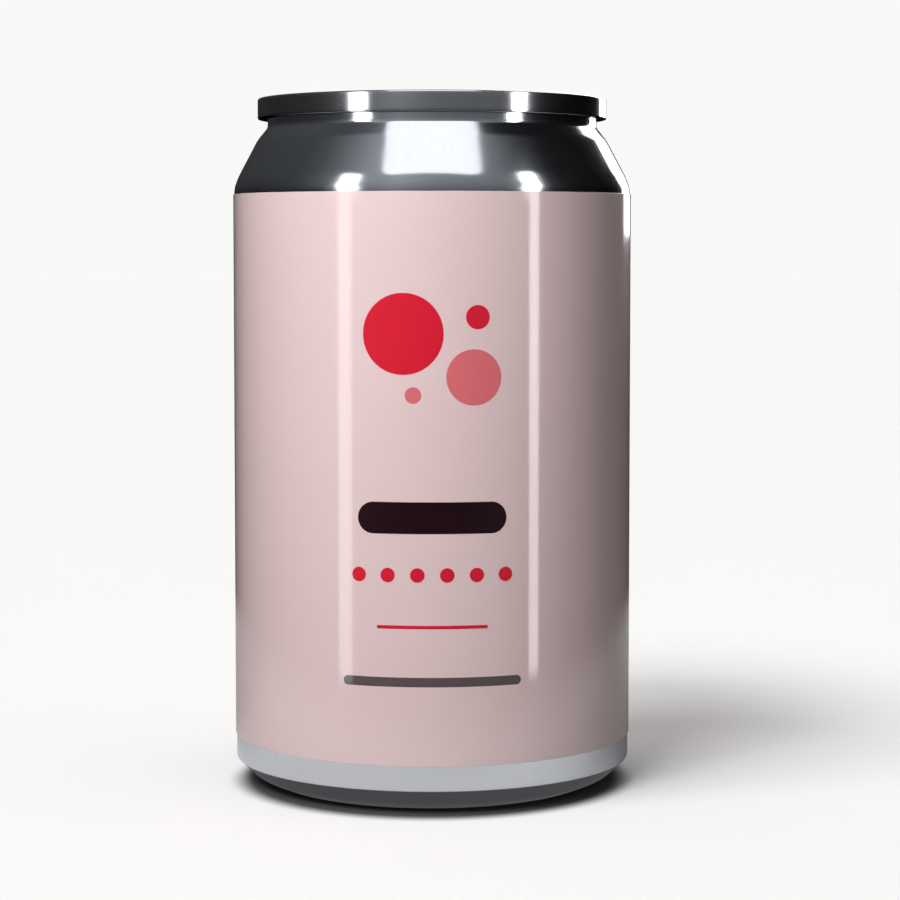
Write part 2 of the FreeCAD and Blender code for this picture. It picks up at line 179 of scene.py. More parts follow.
# The painted glow under the foot, for reflections only.
painted_foot_glow = blend_greys(add, link, clear_of_painted_glow, PAINTED_FOOT_GLOW, 0.0)
painted_foot_glow = blend_greys(add, link, path.outputs["Is Glossy Ray"], 0.0, painted_foot_glow)
matt = add("ShaderNodeBsdfDiffuse")
glow = add("ShaderNodeEmission")
both = add("ShaderNodeAddShader")
output = add("ShaderNodeOutputMaterial")
link(grey, matt.inputs["Color"])
link(painted_foot_glow, glow.inputs["Strength"])
link(matt.outputs["BSDF"], both.inputs[0])
link(glow.outputs["Emission"], both.inputs[1])
link(both.outputs["Shader"], output.inputs["Surface"])

bm = bmesh.new()
bmesh.ops.create_circle(bm, segments=FLOOR_SEGMENTS, radius=MIRRORED_REACH, cap_ends=True)
bmesh.ops.translate(bm, vec=MIRRORED_MIDDLE, verts=bm.verts)
near_floor = new_piece("near_floor", bm, board)

bm = bmesh.new()
inner = bmesh.ops.create_circle(bm, segments=FLOOR_SEGMENTS, radius=MIRRORED_REACH)["verts"]
outer = bmesh.ops.create_circle(bm, segments=FLOOR_SEGMENTS, radius=FLOOR_REACH)["verts"]
bmesh.ops.translate(bm, vec=MIRRORED_MIDDLE, verts=inner + outer)
bmesh.ops.bridge_loops(bm, edges=bm.edges[:])
bmesh.ops.recalc_face_normals(bm, faces=bm.faces)
far_floor = new_piece("far_floor", bm, board)
far_floor.visible_glossy = False


# The studio.
# Two soft suns and a dim sky light the floor and draw the shadow, and a lamp near the can and one behind it
# light the can. Narrow panels and a soft box draw the highlights. The room is white to the eye and dark in
# the reflections.
ROOM_SEEN = (0.947, 0.947, 0.9328, 1)
BLACK = (0, 0, 0, 1)
# Each sun's degrees round from the front and degrees up, its width in degrees, and its strength.
SUNS = {
    "left_sun": ((-55.5, 54), 26, 1.4),
    "front_sun": ((-29.5, 49), 21, 1.4),
    "sky": ((0, 90), 120, 0.51),
}
SUN_COLOUR = (1.0, 1.0, 0.982)
KEY_LAMP = (-25, 27)
KEY_DISTANCE = 0.3
KEY_POWER = 0.64
BACK_LAMP = (168, 30)
BACK_DISTANCE = 0.8
BACK_POWER = 6.0
LAMP_SIZE = 0.1
ZENITH_LIGHT = 0.62
HORIZON_LIGHT = 0.10
HORIZON_FADE = (-0.02, 0.05)
PANEL_DISTANCE = 0.9
LEFT_GLOW = 3.8
RIGHT_GLOW = 8.0
BACK_GLOW = 5.0
SOFT_BOX_GLOW = 1.7
SOFT_BOX_HEIGHT = 0.7
SOFT_BOX_WIDTH = 0.84
SOFT_BOX_DEPTH = 0.665
SOFT_BOX_TAPER = 0.48
SOFT_BOX_CORNER = 0.112
CORNER_STEPS = 8

body_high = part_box("can_body")[1]
end_low, end_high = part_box("can_end")


def shines_on(collection_name, state):
    """A collection that makes a lamp light only the floor, or all but the floor."""
    lit = bpy.data.collections.new(collection_name)
    for board_piece in (near_floor, far_floor):
        lit.objects.link(board_piece)
    for member in lit.collection_objects:
        member.light_linking.link_state = state
    return lit


def place_lamp(name, lamp, direction, distance, lit):
    """Puts a lamp round the can. direction is degrees round from the front and degrees up."""
    around, up = (math.radians(angle) for angle in direction)
    outward = Vector((math.sin(around) * math.cos(up), -math.cos(around) * math.cos(up), math.sin(up)))
    made = bpy.data.objects.new(name, lamp)
    made.location = Vector((0, 0, body_high.z / 2)) + outward * distance
    made.rotation_euler = outward.to_track_quat("Z", "Y").to_euler()
    made.visible_glossy = False
    made.light_linking.receiver_collection = lit
    bpy.context.scene.collection.objects.link(made)


floor_only = shines_on("floor_only", "INCLUDE")
all_but_floor = shines_on("all_but_floor", "EXCLUDE")
for lamp_name, (direction, width, strength) in SUNS.items():
    lamp = bpy.data.lights.new(lamp_name, "SUN")
    lamp.energy = strength
    lamp.color = SUN_COLOUR
    lamp.angle = math.radians(width)
    place_lamp(lamp_name, lamp, direction, 1.0, floor_only)
for lamp_name, direction, distance, power in (
    ("key_lamp", KEY_LAMP, KEY_DISTANCE, KEY_POWER),
    ("back_lamp", BACK_LAMP, BACK_DISTANCE, BACK_POWER),
):
    lamp = bpy.data.lights.new(lamp_name, "AREA")
    lamp.size = LAMP_SIZE
    lamp.energy = power
    place_lamp(lamp_name, lamp, direction, distance, all_but_floor)

room = bpy.data.worlds.new("room")
bpy.context.scene.world = room
room.use_nodes = True
room.cycles.sampling_method = "NONE"
room.node_tree.nodes.clear()
add, link = room.node_tree.nodes.new, room.node_tree.links.new
direction = add("ShaderNodeTexCoord")
parts = add("ShaderNodeSeparateXYZ")
link(direction.outputs["Generated"], parts.inputs["Vector"])
path = add("ShaderNodeLightPath")


def ramp(source, stops, tint=(1, 1, 1)):
    """A colour ramp on a value, with its stops as (position, grey), all tinted alike."""
    made = add("ShaderNodeValToRGB")
    while len(made.color_ramp.elements) < len(stops):
        made.color_ramp.elements.new(0.5)
    for element, (position, grey) in zip(made.color_ramp.elements, stops):
        element.position = position
        element.color = (*[grey * part for part in tint], 1)
    link(source, made.inputs["Fac"])
    return made.outputs["Color"]


def calculate(operation, *values):
    """A Math node on links and numbers."""
    made = add("ShaderNodeMath")
    made.operation = operation
    for socket, value in zip(made.inputs, values):
        if isinstance(value, (int, float)):
            socket.default_value = value
        else:
            link(value, socket)
    return made.outputs["Value"]


def background(colour, strength=1.0):
    """A glow of the room, from a colour or a link."""
    made = add("ShaderNodeBackground")
    made.inputs["Strength"].default_value = strength
    if isinstance(colour, tuple):
        made.inputs["Color"].default_value = colour
    else:
        link(colour, made.inputs["Color"])
    return made.outputs["Background"]


def choose(factor, first, second):
    """The first shader where the factor is 0, and the second where it is 1."""
    made = add("ShaderNodeMixShader")
    link(factor, made.inputs["Fac"])
    link(first, made.inputs[1])
    link(second, made.inputs[2])
    return made.outputs["Shader"]


# What the can mirrors: greys at eye level and overhead, by degrees round the can from the front.
ROOM_TINT = (0.98, 1.02, 1.06)
ROUND_THE_ROOM = [
    (-180, 0.024, 0.15),
    (-120, 0.024, 0.11),
    (-100, 0.032, 0.095),
    (-84, 0.038, 0.14),
    (-68, 0.055, 0.265),
    (-50, 0.15, 0.43),
    (-22, 0.295, 0.56),
    (0, 0.205, 0.40),
    (36, 0.153, 0.335),
    (53, 0.11, 0.25),
    (64, 0.04, 0.14),
    (75, 0.012, 0.058),
    (90, 0.005, 0.02),
    (120, 0.003, 0.012),
    (180, 0.012, 0.05),
]
forwards = calculate("MULTIPLY", parts.outputs["Y"], -1)
around = calculate("ARCTAN2", parts.outputs["X"], forwards)
turn = calculate("MULTIPLY_ADD", around, 0.5 / math.pi, 0.5)
at_eye_level = ramp(turn, [(angle / 360 + 0.5, grey) for angle, grey, _ in ROUND_THE_ROOM], ROOM_TINT)
overhead = ramp(turn, [(angle / 360 + 0.5, grey) for angle, _, grey in ROUND_THE_ROOM], ROOM_TINT)
mirrored_room = add("ShaderNodeMix")
mirrored_room.data_type = "RGBA"
link(calculate("MAXIMUM", parts.outputs["Z"], 0), mirrored_room.inputs["Factor"])
link(at_eye_level, mirrored_room.inputs["A"])
link(overhead, mirrored_room.inputs["B"])
above_horizon = smooth_step(add, link, parts.outputs["Z"], *HORIZON_FADE)
glossy = choose(above_horizon, background(BLACK), background(mirrored_room.outputs["Result"]))
soft_light = ramp(parts.outputs["Z"], [(0.0, HORIZON_LIGHT), (0.5, HORIZON_LIGHT), (1.0, 1.0)])
surroundings = choose(path.outputs["Is Glossy Ray"], background(soft_light, ZENITH_LIGHT), glossy)
surroundings = choose(path.outputs["Is Camera Ray"], surroundings, background(ROOM_SEEN))
output = add("ShaderNodeOutputWorld")
link(surroundings, output.inputs["Surface"])


def glowing(name, strength):
    """A plain white glow."""
    material, add, link = new_material(name)
    glow = add("ShaderNodeEmission")
    glow.inputs["Strength"].default_value = strength
    output = add("ShaderNodeOutputMaterial")
    link(glow.outputs["Emission"], output.inputs["Surface"])
    return material


def panel(name, width, height, place, turn, strength, lean=0.0, taper=1.0, corner=0.0):
    """A glowing sheet that only reflections see. turn is its rotation from lying face down.

    lean moves its top edge sideways, taper narrows that edge, and corner rounds its corners.
    """
    bm = bmesh.new()
    bmesh.ops.create_grid(bm, x_segments=1, y_segments=1, size=0.5)
    shape = Matrix.Translation(place) @ turn @ Matrix.Diagonal((width, height, 1, 1))
    for vert in bm.verts:
        if vert.co.y > 0:
            vert.co.x = vert.co.x * taper + lean / width
    bmesh.ops.transform(bm, matrix=shape, verts=bm.verts)
    if corner:
        bmesh.ops.bevel(
            bm, geom=bm.verts[:], offset=corner, offset_type="OFFSET", affect="VERTICES",
            segments=CORNER_STEPS, profile=0.5, material=-1,
        )
    made = new_piece(name, bm, glowing(name, strength))
    made.visible_camera = False
    made.visible_diffuse = False
    made.visible_shadow = False


def upright_panel(name, azimuth, width, low, high, strength, lean):
    """A panel that stands round the can. azimuth and width are degrees, low and high degrees up."""
    around = math.radians(azimuth)
    bottom, top = (PANEL_DISTANCE * math.tan(math.radians(a)) for a in (low, high))
    place = (
        PANEL_DISTANCE * math.sin(around),
        -PANEL_DISTANCE * math.cos(around),
        EYE_HEIGHT + (bottom + top) / 2,
    )
    across = 2 * PANEL_DISTANCE * math.tan(math.radians(width) / 2)
    turn = Matrix.Rotation(around, 4, "Z") @ Matrix.Rotation(math.pi / 2, 4, "X")
    panel(name, across, top - bottom, place, turn, strength, lean)


# Each panel's degrees round from the front, its width, its low and high end, its glow and its lean.
PANELS = {
    "left_panel": (-49.6, 8.1, -15.2, 3, LEFT_GLOW, 0),
    "left_panel_top": (-47.6, 13.0, 3, 42, LEFT_GLOW, -0.12),
    "right_panel": (58.8, 6.0, -14.2, 3, RIGHT_GLOW, 0),
    "right_panel_top": (57.0, 9.5, 3, 42, RIGHT_GLOW, 0.14),
    "back_panel": (152.0, 18.0, 0.2, 60, BACK_GLOW, 0),
}
for panel_name, sizes in PANELS.items():
    upright_panel(panel_name, *sizes)
panel(
    "soft_box",
    SOFT_BOX_WIDTH,
    SOFT_BOX_DEPTH,
    (0, -SOFT_BOX_DEPTH / 2, SOFT_BOX_HEIGHT + end_high.z),
    Matrix.Identity(4),
    SOFT_BOX_GLOW,
    taper=SOFT_BOX_TAPER,
    corner=SOFT_BOX_CORNER,
)


# The can body.
# Aluminium sheet drawn into a cup and ironed thin, with a bright outside. Its base is pressed into a dome
# inside a narrow stand ring, and its top is necked in through a smooth shoulder to take the end.
DOME_RISE = 9.8 * MM
DOME_FLAT = 13.0 * MM
DOME_CROWN = 42 * MM
DOME_FOOT = (-2.7 * MM, 2.6 * MM, 0.8 * MM)
STAND_INSET = 5.8 * MM
STAND_WIDTH = 1.9 * MM
STAND_ROUND = 0.9 * MM
TAPER_FOOT = (-2.9 * MM, 1.2 * MM, 4 * MM)
TAPER_HEIGHT = 3.9 * MM
TAPER_ROUND = 0.6 * MM
SHOULDER_HEIGHT = 10.05 * MM
SHOULDER_ROUND = 4 * MM
SHOULDER_BEND = (-0.7 * MM, 1.9 * MM, 10 * MM)
NECK_INSET = 5.6 * MM
NECK_HEIGHT = 1.4 * MM
NECK_BEND = (1.7 * MM, -2.1 * MM, 5 * MM)
NECK_ROUND = 1.2 * MM
MOUTH_LEDGE = 0.2 * MM
PLUG_INSET = 1.2 * MM
TURN_STEPS = 256
ARC_STEP = math.radians(4)
LONGEST_STEP = 3.0 * MM
HIDDEN_GAP = 0.05 * MM
MERGE = 0.0005 * MM
CREASE = math.radians(30)
GRAIN_DETAIL = 6
GRAIN_ROUGHNESS = 0.7
HANDLING_SCALE = 90
HANDLING_DETAIL = 4
HANDLING_RANGE = (0.3, 0.75)
TONE_SPREAD = 0.06
RELIEF = 0.01 * MM
SATIN = 0.27
SATIN_FADE = 1.5 * MM

wall = body_high.x
seam_foot = body_high.z
stand = wall - STAND_INSET
neck = wall - NECK_INSET
neck_end = seam_foot - NECK_HEIGHT
shoulder_foot = neck_end - SHOULDER_HEIGHT


def draw_profile(bm, corners, longest=LONGEST_STEP):
    """Draws an open outline in the XZ plane through corners of (radius, height, rounding)."""
    spots = [Vector((r, 0, z)) for r, z, _ in corners]
    last = bm.verts.new(spots[0])
    for before, corner, after, (_, _, rounding) in zip(spots, spots[1:], spots[2:], corners[1:]):
        back, on = (before - corner).normalized(), (after - corner).normalized()
        half_angle = back.angle(on) / 2
        arc_start = bm.verts.new(corner + back * (rounding / math.tan(half_angle)))
        bm.edges.new((last, arc_start))
        last = arc_start
        if rounding:
            turn = math.pi - 2 * half_angle
            middle = corner + (back + on).normalized() * (rounding / math.sin(half_angle))
            arc = bmesh.ops.spin(
                bm, geom=[arc_start], cent=middle, axis=on.cross(back), dvec=(0, 0, 0), angle=turn,
                steps=max(2, math.ceil(turn / ARC_STEP)),
            )
            last = next(item for item in arc["geom_last"] if isinstance(item, bmesh.types.BMVert))
    bm.edges.new((last, bm.verts.new(spots[-1])))
    cuts_of = {edge: math.ceil(edge.calc_length() / longest) - 1 for edge in bm.edges}
    for cuts in sorted(set(cuts_of.values()) - {0}):
        bmesh.ops.subdivide_edges(bm, edges=[edge for edge in cuts_of if cuts_of[edge] == cuts], cuts=cuts)


def turn_profile(bm):
    """Turns everything in the bmesh once round the can's axis into a closed surface."""
    whole = bm.verts[:] + bm.edges[:]
    bmesh.ops.spin(
        bm, geom=whole, cent=(0, 0, 0), axis=(0, 0, 1), dvec=(0, 0, 0), angle=2 * math.pi,
        steps=TURN_STEPS, use_merge=True,
    )
    bmesh.ops.remove_doubles(bm, verts=bm.verts, dist=MERGE)
    bmesh.ops.recalc_face_normals(bm, faces=bm.faces)


def smooth_shade(bm, crease=CREASE):
    """Shades every face smooth, with creases where the surface turns by more than an angle."""
    for face in bm.faces:
        face.smooth = True
    for edge in bm.edges:
        edge.smooth = edge.calc_face_angle(0) < crease


def metal(name, colour, grain, roughness, streak, satin_within=0.0):
    """Bright aluminium. grain is how fine the rolling or drawing marks are along X, Y and Z.

    Within a radius round the axis, satin_within, it is less bright.
    """
    material, add, link = new_material(name)
    where = add("ShaderNodeTexCoord")
    stretch = add("ShaderNodeMapping")
    stretch.inputs["Scale"].default_value = grain
    link(where.outputs["Object"], stretch.inputs["Vector"])
    marks = add("ShaderNodeTexNoise")
    marks.inputs["Scale"].default_value = 1
    marks.inputs["Detail"].default_value = GRAIN_DETAIL
    marks.inputs["Roughness"].default_value = GRAIN_ROUGHNESS
    link(stretch.outputs["Vector"], marks.inputs["Vector"])
    handling = add("ShaderNodeTexNoise")
    handling.inputs["Scale"].default_value = HANDLING_SCALE
    handling.inputs["Detail"].default_value = HANDLING_DETAIL
    link(where.outputs["Object"], handling.inputs["Vector"])
    haze = add("ShaderNodeMapRange")
    haze.inputs["From Min"].default_value, haze.inputs["From Max"].default_value = HANDLING_RANGE
    haze.inputs["To Min"].default_value, haze.inputs["To Max"].default_value = roughness
    link(handling.outputs["Fac"], haze.inputs["Value"])
    finish = haze.outputs["Result"]
    if satin_within:
        axis = add("ShaderNodeVectorMath")
        axis.operation = "MULTIPLY"
        axis.inputs[1].default_value = (1, 1, 0)
        link(where.outputs["Object"], axis.inputs[0])
        from_axis = distance_from(add, link, axis.outputs["Vector"], (0, 0, 0))
        bright = smooth_step(add, link, from_axis, satin_within - SATIN_FADE, satin_within)
        finish = blend_greys(add, link, bright, SATIN, finish)
    tone = add("ShaderNodeMix")
    tone.data_type = "RGBA"
    tone.inputs["A"].default_value = (*[c * (1 - TONE_SPREAD) for c in colour], 1)
    tone.inputs["B"].default_value = (*[c * (1 + TONE_SPREAD) for c in colour], 1)
    link(marks.outputs["Fac"], tone.inputs["Factor"])
    bump = add("ShaderNodeBump")
    bump.inputs["Strength"].default_value = streak
    bump.inputs["Distance"].default_value = RELIEF
    link(marks.outputs["Fac"], bump.inputs["Height"])
    surface = add("ShaderNodeBsdfPrincipled")
    surface.inputs["Metallic"].default_value = 1
    link(tone.outputs["Result"], surface.inputs["Base Color"])
    link(finish, surface.inputs["Roughness"])
    link(bump.outputs["Normal"], surface.inputs["Normal"])
    output = add("ShaderNodeOutputMaterial")
    link(surface.outputs["BSDF"], output.inputs["Surface"])
    return material


drawn_metal = metal(
    "drawn_aluminium", colour=(0.565, 0.585, 0.63), grain=(900, 900, 25), roughness=(0.09, 0.16), streak=0.25
)


def near(radius, height, offset):
    """A corner that lies off a point of the outline by (radius, height), with a rounding."""
    return radius + offset[0], height + offset[1], offset[2]


bm = bmesh.new()
draw_profile(
    bm,
    [
        (0, DOME_RISE, 0),
        (DOME_FLAT, DOME_RISE, DOME_CROWN),
        near(stand, 0, DOME_FOOT),
        (stand - STAND_WIDTH, 0, STAND_ROUND),
        (stand, 0, STAND_ROUND),
        near(wall, 0, TAPER_FOOT),
        (wall, TAPER_HEIGHT, TAPER_ROUND),
        (wall, shoulder_foot, SHOULDER_ROUND),
        near(wall, shoulder_foot, SHOULDER_BEND),
        near(neck, neck_end, NECK_BEND),
        (neck, neck_end, NECK_ROUND),
        (neck, seam_foot, 0),
        (neck - MOUTH_LEDGE, seam_foot - HIDDEN_GAP, 0),
        (neck - PLUG_INSET, end_low.z - HIDDEN_GAP, 0),
        (0, end_low.z - HIDDEN_GAP, 0),
    ],
)
turn_profile(bm)
smooth_shade(bm)
drawn_body = new_piece("drawn_body", bm, drawn_metal)
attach(drawn_body, "root")
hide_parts("can_body")


# The end.
# One blank of rolled aluminium: the double seam, the chuck wall, the countersink, and a flat panel with a
# shallow recess, the scored mouth and a finger well stamped into it.
PANEL_DEPTH = 4.6 * MM
PANEL_THICKNESS = 2.2 * MM
PANEL_ROUND = 0.5 * MM
GROOVE_DEPTH = 2.3 * MM
GROOVE_INNER = 2.1 * MM
GROOVE_OUTER = 1.0 * MM
GROOVE_ROUND = 0.45 * MM
GROOVE_BACK = 0.7 * MM
CHUCK_INSET = 0.5 * MM
CHUCK_ROUND = 3 * MM
PANEL_INSET = 2.5 * MM
SEAM_WIDTH = 1.55 * MM
SEAM_INNER_ROUND = 0.6 * MM
SEAM_OUTER_ROUND = 0.35 * MM
SEAM_FOOT_ROUND = 0.2 * MM
FLAT_INSET = 0.3 * MM
ON_PANEL = 0.001 * MM
END_STEP = 0.6 * MM
RELIEF_REACH = 1.0 * MM
RELIEF_CUTS = 2
RECESS_DEPTH = 0.4 * MM
RECESS_EDGE = 1.0 * MM
SCORE_DEPTH = 0.12 * MM
SCORE_WIDTH = 0.6 * MM
BEAD_HEIGHT = 0.28 * MM
BEAD_WIDTH = 1.8 * MM
WELL_DEPTH = 0.9 * MM
WELL_EDGE = 2.4 * MM
RIB_HEIGHT = 0.25 * MM
RIB_EDGE = 1.0 * MM
STAMPED_CREASE = math.radians(50)
RECESS = [(0, -8.6 * MM, 14.2 * MM), (0, 11.0 * MM, 10.8 * MM)]
MOUTH = [(-3.3 * MM, -12.0 * MM, 8.0 * MM), (3.3 * MM, -12.0 * MM, 8.0 * MM)]
MOUTH_BEAD = [(-3.3 * MM, -12.4 * MM, 4.6 * MM), (3.3 * MM, -12.4 * MM, 4.6 * MM)]
WELL = [(-2.8 * MM, 14.6 * MM, 3.7 * MM), (2.8 * MM, 14.6 * MM, 3.7 * MM)]
SIDE_RIBS = [
    [(side * 10.6 * MM, -0.5 * MM, 0.3 * MM), (side * 9.3 * MM, 7.5 * MM, 0.3 * MM)] for side in (-1, 1)
]

seam = end_high.x
rim = end_high.z
panel_height = rim - PANEL_DEPTH
panel_back = panel_height - PANEL_THICKNESS
groove_height = panel_height - GROOVE_DEPTH
chuck = neck - CHUCK_INSET
panel_edge = chuck - PANEL_INSET


def distance_to(outline, x, y):
    """How far points lie outside the outline that two round ends and their common tangents make."""
    (ax, ay, a_radius), (bx, by, b_radius) = outline
    length = math.hypot(bx - ax, by - ay)
    ux, uy = (bx - ax) / length, (by - ay) / length
    along = (x - ax) * ux + (y - ay) * uy
    across = np.abs((y - ay) * ux - (x - ax) * uy)
    lean = (a_radius - b_radius) / length
    upright = math.sqrt(1 - lean**2)
    share = across * -lean + along * upright
    to_a = np.hypot(across, along) - a_radius
    to_b = np.hypot(across, along - length) - b_radius
    to_side = across * upright + along * lean - a_radius
    return np.where(share < 0, to_a, np.where(share > upright * length, to_b, to_side))


def stamped(outline, x, y, softness):
    """1 inside an outline and 0 outside, with a smooth edge of a given width."""
    share = np.clip(0.5 - distance_to(outline, x, y) / softness, 0, 1)
    return share * share * (3 - 2 * share)


def ridge(outline, x, y, width):
    """1 along an outline, falling to 0 at half a width on either side."""
    share = np.clip(1 - np.abs(distance_to(outline, x, y)) / (width / 2), 0, 1)
    return share * share * (3 - 2 * share)


def panel_relief(x, y):
    """Height of the stamped panel over its flat."""
    relief = -RECESS_DEPTH * stamped(RECESS, x, y, RECESS_EDGE)
    relief -= SCORE_DEPTH * ridge(MOUTH, x, y, SCORE_WIDTH)
    relief += BEAD_HEIGHT * ridge(MOUTH_BEAD, x, y, BEAD_WIDTH)
    relief -= WELL_DEPTH * stamped(WELL, x, y, WELL_EDGE)
    for rib in SIDE_RIBS:
        relief += RIB_HEIGHT * stamped(rib, x, y, RIB_EDGE)
    return relief


def near_relief(x, y):
    """Whether points are close to the edge of anything stamped."""
    edges = [RECESS, MOUTH, MOUTH_BEAD, WELL, *SIDE_RIBS]
    return np.min([np.abs(distance_to(outline, x, y)) for outline in edges], axis=0) < RELIEF_REACH


bm = bmesh.new()
draw_profile(
    bm,
    [
        (0, panel_height, 0),
        (panel_edge, panel_height, PANEL_ROUND),
        (chuck - GROOVE_INNER, groove_height, GROOVE_ROUND),
        (chuck - GROOVE_OUTER, groove_height, GROOVE_ROUND),
        (chuck, seam_foot, CHUCK_ROUND),
        (seam - SEAM_WIDTH, rim, SEAM_INNER_ROUND),
        (seam, rim, SEAM_OUTER_ROUND),
        (seam, seam_foot, SEAM_FOOT_ROUND),
        (neck - MOUTH_LEDGE, seam_foot, 0),
        (chuck - GROOVE_BACK, end_low.z, GROOVE_ROUND),
        (panel_edge + 0.1 * MM, end_low.z, GROOVE_ROUND),
        (panel_edge - FLAT_INSET, panel_back, 0),
        (0, panel_back, 0),
    ],
    longest=END_STEP,
)
turn_profile(bm)


def on_panel(vert):
    """Whether a vertex is on the flat of the panel."""
    return abs(vert.co.z - panel_height) < ON_PANEL and vert.co.xy.length < panel_edge - FLAT_INSET


flat = [face for face in bm.faces if all(on_panel(vert) for vert in face.verts)]
middles = np.array([face.calc_center_median()[:2] for face in flat])
close = near_relief(middles[:, 0], middles[:, 1])
fine = {edge for face, chosen in zip(flat, close) if chosen for edge in face.edges}
bmesh.ops.subdivide_edges(bm, edges=list(fine), cuts=RELIEF_CUTS, use_grid_fill=True)
top = [vert for vert in bm.verts if on_panel(vert)]
places = np.array([vert.co[:] for vert in top])
for vert, lift in zip(top, panel_relief(places[:, 0], places[:, 1])):
    vert.co.z += lift
smooth_shade(bm, STAMPED_CREASE)
end_metal = metal(
    "rolled_aluminium", colour=(0.58, 0.59, 0.61), grain=(700, 20, 700), roughness=(0.10, 0.17), streak=0.2,
    satin_within=panel_edge,
)
seamed_end = new_piece("seamed_end", bm, end_metal)
seamed_end.visible_glossy = False
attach(seamed_end, "root")
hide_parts("can_end")


# The rivet.
# It is drawn up out of the middle of the end and upset over the tab: a low button with a dimple.
STEM_RADIUS = 1.6 * MM
HEAD_RADIUS = 2.7 * MM
SHOULDER_RADIUS = 3.0 * MM
RIVET_SUNK = 0.3 * MM
RIVET_STEP = 0.3 * MM
TONGUE = 0.35 * MM
HEAD_HEIGHT = 0.45 * MM
HEAD_TAPER = 0.2 * MM
HEAD_FOOT_ROUND = 0.12 * MM
HEAD_ROUND = 0.25 * MM
SHOULDER_EDGE = 0.15 * MM
DIMPLE_TOP = 1.2 * MM
DIMPLE_FOOT = 0.9 * MM
DIMPLE_HEIGHT = 0.2 * MM
DIMPLE_ROUND = 0.3 * MM

tab_low, tab_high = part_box("pull_tab")
tab_foot = tab_low.z
head_foot = tab_foot + TONGUE
head_top = head_foot + HEAD_HEIGHT
rivet_foot = panel_height - RECESS_DEPTH - RIVET_SUNK
bm = bmesh.new()
draw_profile(
    bm,
    [
        (0, rivet_foot, 0),
        (SHOULDER_RADIUS, rivet_foot, 0),
        (SHOULDER_RADIUS, tab_foot, SHOULDER_EDGE),
        (STEM_RADIUS, tab_foot, 0),
        (STEM_RADIUS, head_foot, 0),
        (HEAD_RADIUS, head_foot, HEAD_FOOT_ROUND),
        (HEAD_RADIUS - HEAD_TAPER, head_top, HEAD_ROUND),
        (DIMPLE_TOP, head_top, DIMPLE_ROUND),
        (DIMPLE_FOOT, head_foot + DIMPLE_HEIGHT, DIMPLE_ROUND),
        (0, head_foot + DIMPLE_HEIGHT, 0),
    ],
    longest=RIVET_STEP,
)
turn_profile(bm)
smooth_shade(bm)
rivet = new_piece("rivet", bm, end_metal)
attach(rivet, "root")


# The tab.
# Thicker aluminium strip with its edges curled under all round, a finger hole at the lifting end, and a
# tongue cut out round the rivet so that the tab can bend up.
TAB_TURNS = 160
NOSE = (0, -0.6 * MM, 6.6 * MM)
HEEL = (0, 9.4 * MM, 8.2 * MM)
RING_HOLE = [(-1.6 * MM, 10.4 * MM, 4.1 * MM), (1.6 * MM, 10.4 * MM, 4.1 * MM)]
POCKET = (0, 0, 4.1 * MM)
SLIT_OUTER = 3.7 * MM
SLIT_INNER = 3.3 * MM
SLIT_REACH = math.radians(140)
POCKET_TURNS = 96
WEB_DROP = 0.17 * MM
RIM_CURL = 0.575 * MM
RIM_UNDER = (1.35 * MM, 0.9 * MM)
HOLE_CURL = 0.45 * MM
HOLE_UNDER = (0.95 * MM, 0.7 * MM)
# From a curled edge to the web: how far in, and how far below the top.
RIM_BENDS = [(0.8 * MM, 0.02 * MM), (1.0 * MM, 0.09 * MM), (1.15 * MM, WEB_DROP), (1.35 * MM, WEB_DROP)]
HOLE_BENDS = [(0.6 * MM, 0.03 * MM), (0.72 * MM, 0.11 * MM), (0.8 * MM, WEB_DROP), (0.95 * MM, WEB_DROP)]
# From the web down into the pocket: how far out, and how far below the web or above the pocket's floor.
POCKET_BENDS = [
    (0.35 * MM, 0), (0.25 * MM, 0), (0.12 * MM, 0.03 * MM), (0.03 * MM, 0.12 * MM), (0, 0.25 * MM)
]
POCKET_FOOT = [(0, 0.1 * MM), (-0.05 * MM, 0), (-0.15 * MM, 0)]
TAB_CREASE = math.radians(45)

tab_top = tab_high.z
web = tab_top - WEB_DROP
pocket_floor = tab_foot + TONGUE


def ring_of(bm, turns, spot_at):
    """A closed ring of edges. spot_at gives a point for a share of the way round."""
    made = bmesh.ops.create_circle(bm, segments=turns, radius=1)["verts"]
    for index, vert in enumerate(made):
        vert.co = spot_at(index / turns)
    return list({edge for vert in made for edge in vert.link_edges})


def round_outline(circles, grow, height):
    """Points of the outline that is pulled tight round some circles, grown by a distance."""

    def spot_at(share):
        facing = Vector((math.sin(2 * math.pi * share), -math.cos(2 * math.pi * share), 0))
        x, y, radius = max(circles, key=lambda c: c[0] * facing.x + c[1] * facing.y + c[2])
        return Vector((x, y, height)) + facing * (radius + grow)

    return spot_at


def loft(bm, rings):
    """Joins rings of edges one after the other, and returns the first and the last."""
    for lower, upper in zip(rings, rings[1:]):
        bmesh.ops.bridge_loops(bm, edges=lower + upper)
    return rings[0], rings[-1]


def half_round(depth, low, high, steps=10):
    """(inset, height) steps round an edge, from its underside to its top."""
    middle, radius = (low + high) / 2, (high - low) / 2
    turns = [math.pi * step / steps for step in range(steps + 1)]
    return [(depth - depth * math.sin(turn), middle - radius * math.cos(turn)) for turn in turns]


def curled_edge(under, curl, bends):
    """(inset, height) steps of a curled edge, from the underside round to the web."""
    steps = [(inset, tab_foot) for inset in under]
    steps += half_round(curl, tab_foot, tab_top)
    return steps + [(inset, tab_top - drop) for inset, drop in bends]


